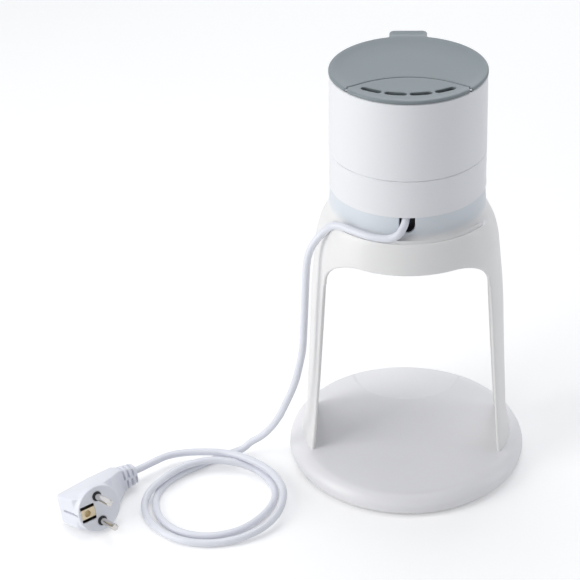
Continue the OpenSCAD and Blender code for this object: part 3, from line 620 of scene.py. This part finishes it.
# ------------------------------------------------------------------ base cover
prof = [(0.0, 18.6)]
for r in np.arange(6, 75.4, 6.0):
    prof.append((r, 16.2 + 2.4 * (1 - (r / 75.4) ** 2)))
for a in np.arange(90, -0.1, -7.5):
    prof.append((75.4 + 11 * math.cos(math.radians(a)), 7 + 9.2 * math.sin(math.radians(a))))
for a in np.arange(-12, -80.1, -12):
    prof.append((82.4 + 4 * math.cos(math.radians(a)), 7 + 6 * math.sin(math.radians(a))))
prof.append((82.6, 1.05))
prof = np.array(prof)
fine_p = catmull(prof, 12)
fine_p[:, 0] = np.maximum(fine_p[:, 0], 0)
S_P = np.r_[0, np.cumsum(np.linalg.norm(np.diff(fine_p, axis=0), axis=1))]
SC_Y, SC_R, SC_Z, SC_T = 75.0, 42.0, 13.9, math.tan(math.radians(5.2))


def base_top(x, y, z):
    """Lowers z inside the front recess."""
    sd = SC_R - np.hypot(x, y - SC_Y)
    floor = SC_Z - SC_T * (y - SC_Y)
    d = z - floor
    soft = 0.5 * (d + np.sqrt(d * d + 0.16)) - 0.02
    return z - np.where(z > 4, np.maximum(soft, 0), 0) * smooth01((sd + 0.1) / 1.3)


def base_point(x0, y0):
    s = np.hypot(x0, y0)
    r = np.interp(s, S_P, fine_p[:, 0])
    z = np.interp(s, S_P, fine_p[:, 1])
    k = np.where(s > 1e-6, r / np.maximum(s, 1e-6), 1)
    x, y = x0 * k, y0 * k
    return np.stack([x, y, base_top(x, y, z)], -1)


def base_map(uv, depth):
    h = 0.25
    x, y = uv[:, 0], uv[:, 1]
    p = base_point(x, y)
    n = np.cross(base_point(x + h, y) - base_point(x - h, y), base_point(x, y + h) - base_point(x, y - h))
    n /= np.maximum(np.linalg.norm(n, axis=1), 1e-12)[:, None]
    return p - n * np.asarray(depth)[:, None]


def to_domain(x, y):
    r = math.hypot(x, y)
    top = S_P[:int(np.argmax(fine_p[:, 0]))]
    s = float(np.interp(r, fine_p[:len(top), 0], top))
    return (x * s / r, y * s / r) if r > 1e-6 else (0.0, 0.0)


extra = []
for dr in (-0.25, 0.0, 0.3, 0.6, 0.9, 1.25):
    for a in np.arange(0, 360, 1.6):
        x, y = (SC_R - dr) * math.cos(math.radians(a)), SC_Y + (SC_R - dr) * math.sin(math.radians(a))
        if math.hypot(x, y) < 85.5:
            extra.append(to_domain(x, y))
s_rim = float(np.interp(75.4, fine_p[:, 0][:int(np.argmax(fine_p[:, 0]))], S_P[:int(np.argmax(fine_p[:, 0]))]))
for s in np.arange(s_rim + 1.2, S_P[-1] - 0.5, 1.7):
    m = int(2 * math.pi * s / 3.0)
    for i in range(m):
        a = 2 * math.pi * (i + 0.5 * (int(s * 10) % 2)) / m
        extra.append((s * math.cos(a), s * math.sin(a)))
disc_out = arc(0, 0, S_P[-1], 0, 360, 241)[:-1]
base = sheet("base_dome", [(disc_out, 0.0)], 3.0, base_map, 2.2, "base_plastic", "stand", extra=extra,
             replaces=("base_cover",), angle=50)

# ------------------------------------------------------------------ lid and vent cover
LZ_R = [0, 12, 24, 34, 41.5, 45.4, 48.3, 50.0, 51.1, 52.1, 54.0]
LZ_Z = [0.0, 0.06, 0.2, 0.42, 0.9, 1.35, 2.05, 2.5, 2.72, 2.75, 2.75]


def lid_top(x, y):
    r = np.hypot(x, y)
    z = pchip(LZ_R, LZ_Z, np.clip(r, 0, 53.9))
    # the tab is a flat tongue with a shallow thumb hollow
    t = smooth01((y - 50.6) / 2.5) * (np.abs(x) < 13.4)
    hollow = 0.8 * smooth01((11.6 - np.abs(x)) / 1.1) * smooth01((61.0 - y) / 1.1) * smooth01((y - 53.8) / 1.4)
    return z * (1 - t) + (2.6 - hollow) * t


def lid_map(uv, depth):
    x, y = uv[:, 0], uv[:, 1]
    return np.stack([x, y, RIM + lid_top(x, y) - np.asarray(depth)], -1)


PART = (0.0, -58.0, 48.7)


def circ_cut(r_part, r_disc):
    """Half angles at which the parting circle meets the rim circle: on the rim, and on the parting circle."""
    d = -PART[1]
    y = -(d * d + r_disc ** 2 - r_part ** 2) / (2 * d)
    x = math.sqrt(r_disc ** 2 - y * y)
    return x, y


R_LID = 52.52
xf, yf = circ_cut(PART[2] + 0.34, R_LID)
tab = 12.85
ya = math.sqrt(R_LID ** 2 - tab ** 2)
flap = []
EAR_Y, EAR_X = -32.5, 39.3
a_s = math.degrees(math.atan2(EAR_Y, math.sqrt(R_LID ** 2 - EAR_Y ** 2)))
a_t = math.degrees(math.atan2(ya, tab))
flap += list(arc(0, 0, R_LID, a_s, a_t - 1.4, 70))
# small fillet into the tab, its sides and rounded corners
flap += [(tab + 0.35, ya + 0.75), (tab + 0.03, ya + 1.7)]
flap += [(tab, y) for y in np.arange(ya + 2.6, 58.7, 0.9)]
flap += list(arc(tab - 3.5, 58.8, 3.5, 0, 90, 10))
flap += [(x, 62.3) for x in np.arange(tab - 4.4, -(tab - 4.4) - 0.01, -1.1)]
flap += list(arc(-(tab - 3.5), 58.8, 3.5, 90, 180, 10))
flap += [(-tab, y) for y in np.arange(58.1, ya + 2.2, -0.9)]
flap += [(-tab - 0.03, ya + 1.7), (-tab - 0.35, ya + 0.75)]
flap += list(arc(0, 0, R_LID, 180 - a_t + 1.4, 180 - a_s, 70))
b_s = math.degrees(math.acos(EAR_X / (PART[2] + 0.34)))
inner_arc = ([(-40.6, EAR_Y), (-39.9, EAR_Y), (-EAR_X, EAR_Y), (-EAR_X, -31.4), (-EAR_X, -30.2)]
             + list(arc(PART[0], PART[1], PART[2] + 0.34, 180 - b_s, b_s, 90))
             + [(EAR_X, -30.2), (EAR_X, -31.4), (EAR_X, EAR_Y), (39.9, EAR_Y), (40.6, EAR_Y)])
n_rim = len(flap)
flap += inner_arc
flap = np.array(flap)
fr = np.full(len(flap), 1.15)
fr[n_rim:] = 0.6
for k in range(7):
    q = 0.6 + (1.15 - 0.6) * smooth01((k + 1) / 7.0)
    fr[k] = min(fr[k], q)
    fr[n_rim - 1 - k] = min(fr[n_rim - 1 - k], q)
lid = sheet("lid_flap_dish", [(flap, fr)], 1.9, lid_map, 2.25, "grey_plastic", "lid", replaces=("lid_flap",), angle=50)
# the flap's locating skirt, under the dish
sk = []
for i, a in enumerate(np.linspace(-14, 194, 120)):
    for r, z in ((52.6 - 2.35, RIM + 0.5), (52.6 - 2.35, RIM - 3.0), (52.6 - 3.3, RIM - 3.0), (52.6 - 3.3, RIM + 0.5)):
        sk.append((r * math.cos(math.radians(a)), r * math.sin(math.radians(a)), z))
fs = []
for i in range(119):
    for j in range(4):
        fs.append((4 * i + j, 4 * i + (j + 1) % 4, 4 * i + 4 + (j + 1) % 4, 4 * i + 4 + j))
fs += [(0, 1, 2, 3), (4 * 119 + 3, 4 * 119 + 2, 4 * 119 + 1, 4 * 119)]
make("lid_skirt", sk, fs, "grey_plastic", "lid")

xv, yv = circ_cut(PART[2] - 0.24, R_LID)
VX = 39.0
a_v = -math.degrees(math.acos(VX / R_LID))
vent = list(arc(0, 0, R_LID, -180 - a_v, a_v, 110))
c_s = math.degrees(math.acos(VX / (PART[2] - 0.24)))
n_v = len(vent)
vent += ([(VX, -33.9), (VX, -32.4), (VX, -30.8)] + list(arc(PART[0], PART[1], PART[2] - 0.24, c_s, 180 - c_s, 90))
         + [(-VX, -30.8), (-VX, -32.4), (-VX, -33.9)])
vent = np.array(vent)
vr = np.full(len(vent), 1.15)
vr[n_v:] = 0.6
for k in range(7):
    q = 0.3 + (1.15 - 0.3) * smooth01((k + 1) / 7.0)
    vr[k] = min(vr[k], q)
    vr[n_v - 1 - k] = min(vr[n_v - 1 - k], q)
loops = [(vent, vr)]
for s in (-1, 1):
    for k in (0, 1):
        am = 8.9 + 18.2 * k
        r0, hw, ha = 52.4, 2.5, 5.3
        pts = []
        for a in np.linspace(am - ha, am + ha, 14):
            pts.append((a, r0 + hw))
        for ph in np.linspace(90, -90, 9)[1:-1]:
            pts.append((am + ha + math.degrees(hw * math.cos(math.radians(ph)) / r0), r0 + hw * math.sin(math.radians(ph))))
        for a in np.linspace(am + ha, am - ha, 14):
            pts.append((a, r0 - hw))
        for ph in np.linspace(-90, 90, 9)[1:-1]:
            pts.append((am - ha - math.degrees(hw * math.cos(math.radians(ph)) / r0), r0 + hw * math.sin(math.radians(ph))))
        loops.append((np.array([(s * r * math.sin(math.radians(a)), 16.1 - r * math.cos(math.radians(a))) for a, r in pts]), 0.45))


def vent_map(uv, depth):
    x, y = uv[:, 0], uv[:, 1]
    return np.stack([x, y, RIM + lid_top(x, y) - 0.12 - np.asarray(depth)], -1)


vent_o = sheet("vent_cover_dish", loops, 1.6, vent_map, 2.2, "grey_plastic", "head", replaces=("vent_cover",), angle=50)


# ------------------------------------------------------------------ cord
def tube(name, path, r, seg, slot, body=None, close=True):
    p = np.asarray(path, float)
    t = np.gradient(p, axis=0)
    t /= np.linalg.norm(t, axis=1)[:, None]
    n = np.zeros_like(p)
    n[0] = np.cross(t[0], (0, 0, 1.0) if abs(t[0][2]) < 0.8 else (1.0, 0, 0))
    n[0] /= np.linalg.norm(n[0])
    for i in range(1, len(p)):
        v = n[i - 1] - t[i] * (n[i - 1] @ t[i])
        n[i] = v / np.linalg.norm(v)
    b = np.cross(t, n)
    rr = np.broadcast_to(np.asarray(r, float), (len(p),))
    a = 2 * np.pi * np.arange(seg) / seg
    V = (p[:, None] + rr[:, None, None] * (np.cos(a)[None, :, None] * n[:, None] + np.sin(a)[None, :, None] * b[:, None])).reshape(-1, 3)
    F = []
    for i in range(len(p) - 1):
        for j in range(seg):
            F.append((i * seg + j, i * seg + (j + 1) % seg, (i + 1) * seg + (j + 1) % seg, (i + 1) * seg + j))
    F.append(tuple(range(seg))[::-1])
    F.append(tuple((len(p) - 1) * seg + j for j in range(seg)))
    return make(name, V, F, slot, body)


DROP = [[0, -26, 228.6], [0, -36, 228.4], [-0.3, -42.5, 226], [-0.8, -48.6, 222], [-2.1, -53.3, 217.7], [-5.2, -57.1, 213.6],
        [-9.6, -57, 210.3], [-15.6, -55.6, 208.7], [-25.4, -51.8, 208.4], [-35.2, -45.5, 208.6], [-43.9, -39.6, 209], [-50.6, -35.8, 207.2],
        [-55, -32.6, 202], [-59.8, -31.4, 196], [-63.6, -31, 190.2], [-66.3, -31, 184], [-68.1, -31, 176], [-69.1, -31, 165],
        [-70.3, -31, 145], [-71.6, -31, 124], [-72.9, -31, 106], [-75.5, -31, 91.6], [-79.6, -30.8, 75], [-86.2, -30.2, 58],
        [-91.6, -26.6, 44], [-98, -22.8, 31.6], [-106, -19, 20.3], [-114.6, -15.6, 12]]
TURN_1 = [[-121.5, -16.7, 6.2], [-133.1, -19.2, 2.75], [-144.5, -27.1, 2.65], [-155.7, -35.9, 2.65], [-165.8, -44.3, 2.65],
          [-173.8, -54.5, 2.65], [-178.3, -66.3, 2.65], [-178.3, -79.4, 2.65], [-173.3, -93.3, 2.65], [-163.2, -105, 2.65],
          [-150.2, -111.3, 2.65], [-136.9, -112.8, 2.65], [-124, -109.8, 2.65], [-112.3, -103, 2.65], [-102.6, -92.2, 2.65],
          [-95.9, -79.4, 2.65], [-93.7, -66.2, 2.65], [-96.8, -53.4, 2.75], [-105.3, -42.1, 3.6], [-116.7, -36, 5.6],
          [-128.8, -33.9, 7.6]]
TURN_2 = [[-141.7, -33.4, 8.3], [-154.3, -36.8, 8.3], [-166.3, -45.3, 8.4], [-176.2, -57.4, 8.3], [-183.6, -68.8, 6.6],
          [-186.1, -80.1, 4.2], [-183, -92.2, 2.65], [-174.8, -104.4, 2.65], [-164, -113.4, 2.65], [-151.1, -119, 2.65],
          [-136.9, -120.5, 2.65], [-123.2, -118.5, 3.0], [-110.5, -113.9, 4.2], [-98.8, -105.6, 5.6], [-90.4, -93.2, 6.8],
          [-87.1, -78, 7.6], [-88.2, -64.3, 8.0], [-94.7, -50.9, 8.8]]
RUN = [[-105.6, -41.2, 10.5], [-119.5, -32.6, 11], [-134, -26, 9.6], [-148.2, -24.2, 8.9], [-163, -25.6, 8.9],
       [-175.2, -30.2, 9.3], [-184, -37.6, 9.7], [-191.25, -44.4, 9.8], [-198.8, -51, 9.9], [-206.4, -57.5, 10]]
path = resample(catmull(DROP + TURN_1 + TURN_2 + RUN, 8), 1.6)
cord = tube("mains_cord", path, 2.65, 24, "cord_pvc")
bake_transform(cord)
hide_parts("power_cord")

# ------------------------------------------------------------------ plug
PLUG = (Matrix.Translation((-0.2135, -0.104, 0.0188)) @ Matrix.Rotation(math.radians(-48.8), 4, "Z")
        @ Matrix.Rotation(math.radians(-15), 4, "Y") @ Matrix.Rotation(math.radians(-1), 4, "X"))


def hull(points):
    bm = bmesh.new()
    for p in points:
        bm.verts.new(np.asarray(p) * MM)
    r = bmesh.ops.convex_hull(bm, input=bm.verts)
    for v in [g for g in r["geom_interior"] + r["geom_unused"] if isinstance(g, bmesh.types.BMVert)]:
        if v.is_valid:
            bm.verts.remove(v)
    me = bpy.data.meshes.new("h")
    bm.to_mesh(me)
    bm.free()
    return me


def joined(meshes, name):
    bm = bmesh.new()
    for me in meshes:
        bm.from_mesh(me)
    me = bpy.data.meshes.new(name)
    bm.to_mesh(me)
    bm.free()
    o = bpy.data.objects.new(name, me)
    scene.collection.objects.link(o)
    return o


def cyl_pts(axis, c, r, a0, a1, n=40, squash=1.0):
    out = []
    for t in range(n):
        ca, sa = math.cos(2 * math.pi * t / n) * r, math.sin(2 * math.pi * t / n) * r * squash
        for h in (a0, a1):
            out.append((h, c[0] + ca, c[1] + sa) if axis == "x" else (c[0] + ca, h, c[1] + sa))
    return out


def applied(o):
    dg = bpy.context.evaluated_depsgraph_get()
    me = bpy.data.meshes.new_from_object(o.evaluated_get(dg))
    o.modifiers.clear()
    o.data = me
    return o


# rounded body: face disc, shoulders and the tapering back; rounded pieces are hulled apart and fused by the remesh
parts = []
parts.append(hull(cyl_pts("x", (0, 0), 16.9, -6.5, 0.0, 64)))
body_pts = []
for x, y, h in ((-3.2, -12.8, 12.2), (-6.5, -16.6, 11.6), (-24.5, -18.9, 10.2), (-28.6, -16.6, 10.0), (-5.0, 9, 14.6), (-12, 19, 12.4),
                (-23.0, 32.6, 9.6), (-36.0, 32.6, 9.0), (-33.4, 12, 9.9), (-5, -2, 15.4), (-29.8, -4, 10.2)):
    for sz in (-1, 1):
        for ph in np.linspace(0, 90, 4):
            body_pts.append((x, y, sz * h))
parts.append(hull(body_pts))
for x0, x1, y0, y1, h0, h1 in ((-36.2, -22.3, 31, 46.2, 9.6, 7.3),):
    c = []
    for y, xa, xb, h in ((y0, x0, x1, h0), (y1, x0 + 0.6, x1 - 1.0, h1)):
        for t in np.linspace(0, 2 * math.pi, 28, endpoint=False):
            ca, sa = math.cos(t), math.sin(t)
            e = 0.62
            c.append(((xa + xb) / 2 + (xb - xa) / 2 * math.copysign(abs(ca) ** e, ca), y, h * math.copysign(abs(sa) ** e, sa)))
    parts.append(hull(c))
plug = joined(parts, "plug_moulding")
rm1 = plug.modifiers.new("fuse", "REMESH")
rm1.mode = "VOXEL"
rm1.voxel_size = 0.00055
sm = plug.modifiers.new("soften", "SMOOTH")
sm.factor, sm.iterations = 0.5, 9
applied(plug)
cuts = []


def cut_box(a, b):
    return hull([(x, y, z) for x in (a[0], b[0]) for y in (a[1], b[1]) for z in (a[2], b[2])])


for s in (-1, 1):
    cuts.append(hull(cyl_pts("x", (0, 9.5 * s), 3.42, -6.2, 1.5, 40)))
cuts.append(cut_box((-6, -14.6, -6.1), (1.5, -3.4, 6.1)))
cuts.append(hull(cyl_pts("y", (-31.5, 0), 2.8, 27, 60, 32)))
for k in range(3):
    y = 34.2 + 3.9 * k
    # staggered slots: upper half of the front and over the top, then the lower half and underneath
    cuts.append(cut_box((-25.2, y, 0.6), (-15, y + 1.4, 14)))
    cuts.append(cut_box((-40, y, 7.4 - 0.7 * k), (-24.6, y + 1.4, 14)))
    cuts.append(cut_box((-25.2, y + 1.95, -14), (-15, y + 3.35, -0.6)))
    cuts.append(cut_box((-40, y + 1.95, -14), (-24.6, y + 3.35, -7.4 + 0.7 * k)))
    cuts.append(cut_box((-40, y + 1.95, -5), (-34.2, y + 3.35, 5)))
# slit of the side contact and its end
cuts.append(cut_box((-19.5, -24, -0.75), (-1.6, -14.2, 0.75)))
cuts.append(cut_box((-8, 14.6, -2.2), (-1.2, 21, 2.2)))
cutter = joined(cuts, "plug_cutter")
for c in (plug, cutter):
    bm = bmesh.new()
    bm.from_mesh(c.data)
    bmesh.ops.recalc_face_normals(bm, faces=bm.faces)
    bm.to_mesh(c.data)
    bm.free()
bo = plug.modifiers.new("cut", "BOOLEAN")
bo.operation, bo.solver, bo.object = "DIFFERENCE", "EXACT", cutter
bo.use_self = True
applied(plug)
bpy.data.objects.remove(cutter)
rm2 = plug.modifiers.new("fuse", "REMESH")
rm2.mode = "VOXEL"
rm2.voxel_size = 0.00034
sm = plug.modifiers.new("soften", "SMOOTH")
sm.factor, sm.iterations = 0.5, 3
applied(plug)
# painted shade: faces inside the plug's face pocket are picked out to be coloured black, standing in for the shade in
# the recess
pocket_shade_faces = [i for i, q in enumerate(plug.data.polygons)
             if q.center.x < -0.0011 and abs(q.center.z) < 0.0066 and -0.0152 < q.center.y < -0.0028 and q.center.x > -0.0066]
plug.data.transform(PLUG)
plug.data.polygons.foreach_set("use_smooth", [True] * len(plug.data.polygons))
plug.data.materials.clear()
plug.data.materials.append(MAT["cord_pvc"])
plug.data.materials.append(MAT["black_plastic"])
for q in plug.data.polygons:
    q.material_index = 0
# painted shade: black plastic on the pocket faces
for i in pocket_shade_faces:
    plug.data.polygons[i].material_index = 1
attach(plug, "stand")
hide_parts("plug_body")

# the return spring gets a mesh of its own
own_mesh(NODES["yoke_spring"])

# ------------------------------------------------------------------ light, floor and camera
world = bpy.data.worlds.new("studio")
scene.world = world
world.use_nodes = True
bg = world.node_tree.nodes["Background"]
bg.inputs["Color"].default_value = (0.93, 0.95, 1.0, 1)
lp = world.node_tree.nodes.new("ShaderNodeLightPath")
wm = world.node_tree.nodes.new("ShaderNodeMapRange")
wm.inputs["To Min"].default_value = 0.37
wm.inputs["To Max"].default_value = 0.95
seen = world.node_tree.nodes.new("ShaderNodeMath")
seen.operation = "MAXIMUM"
world.node_tree.links.new(lp.outputs["Is Glossy Ray"], seen.inputs[0])
world.node_tree.links.new(lp.outputs["Is Camera Ray"], seen.inputs[1])
world.node_tree.links.new(seen.outputs[0], wm.inputs["Value"])
world.node_tree.links.new(wm.outputs["Result"], bg.inputs["Strength"])

bpy.ops.mesh.primitive_grid_add(x_subdivisions=2, y_subdivisions=2, size=14, location=(0, 2.5, -0.0002))
floor = bpy.context.object
floor.name = "floor"
fm_ = bpy.data.materials.new("floor")
fm_.use_nodes = True
fn, fl = fm_.node_tree.nodes, fm_.node_tree.links
fb = fn["Principled BSDF"]
fb.inputs["Roughness"].default_value = 0.85
fb.inputs["Emission Color"].default_value = (1, 1, 1, 1)
flp = fn.new("ShaderNodeLightPath")
fmr = fn.new("ShaderNodeMapRange")
fmr.inputs["To Min"].default_value = 0.05
fmr.inputs["To Max"].default_value = 0.22
fl.new(flp.outputs["Is Camera Ray"], fmr.inputs["Value"])
fl.new(fmr.outputs["Result"], fb.inputs["Emission Strength"])
nz = fn.new("ShaderNodeTexNoise")
nz.inputs["Scale"].default_value = 60
cr_ = fn.new("ShaderNodeValToRGB")
cr_.color_ramp.elements[0].color = (0.90, 0.90, 0.90, 1)
cr_.color_ramp.elements[1].color = (0.93, 0.93, 0.93, 1)
fl.new(nz.outputs["Fac"], cr_.inputs["Fac"])
fl.new(cr_.outputs["Color"], fb.inputs["Base Color"])
floor.data.materials.append(fm_)


def area_light(name, loc, target, size, power, color=(1, 1, 1), size_y=None):
    d = bpy.data.lights.new(name, "AREA")
    d.energy, d.color = power, color
    d.shape = "RECTANGLE" if size_y else "SQUARE"
    d.size = size
    if size_y:
        d.size_y = size_y
    o = bpy.data.objects.new(name, d)
    scene.collection.objects.link(o)
    o.location = loc
    o.rotation_mode = "QUATERNION"
    o.rotation_quaternion = (Vector(target) - Vector(loc)).to_track_quat("-Z", "Y")
    return o


area_light("key", (-1.15, -0.50, 0.65), (0, 0, 0.17), 0.8, 10.0, (1, 0.995, 0.985), 1.3)
area_light("fill", (1.25, 0.05, 0.5), (0, 0, 0.17), 0.5, 2.4, (0.95, 0.97, 1), 1.2)
area_light("top", (-0.1, 0.45, 1.9), (0, 0, 0.1), 1.5, 12.5)
area_light("back", (0.3, 1.7, 0.7), (0, 0, 0.2), 1.2, 3.0, (0.95, 0.975, 1))

cam_d = bpy.data.cameras.new("cam")
cam = bpy.data.objects.new("cam", cam_d)
scene.collection.objects.link(cam)
scene.camera = cam
cam_d.sensor_width = 36
cam_d.lens = 104.564
yaw, pitch, roll = 0.0772759, 0.5488554, -0.0353948
right = np.array([math.cos(yaw), math.sin(yaw), 0])
fwdh = np.array([-math.sin(yaw), math.cos(yaw), 0])
fwd = fwdh * math.cos(pitch) - np.array([0, 0, math.sin(pitch)])
up = fwdh * math.sin(pitch) + np.array([0, 0, math.cos(pitch)])
cx = right * math.cos(roll) + up * math.sin(roll)
cy = up * math.cos(roll) - right * math.sin(roll)
cam.matrix_world = Matrix(((cx[0], cy[0], -fwd[0], -0.00392), (cx[1], cy[1], -fwd[1], -1.01824),
                           (cx[2], cy[2], -fwd[2], 0.75943), (0, 0, 0, 1)))
cam_d.clip_start, cam_d.clip_end = 0.05, 30
scene.view_settings.view_transform = "Standard"
scene.view_settings.look = "None"
scene.view_settings.exposure = 0.0
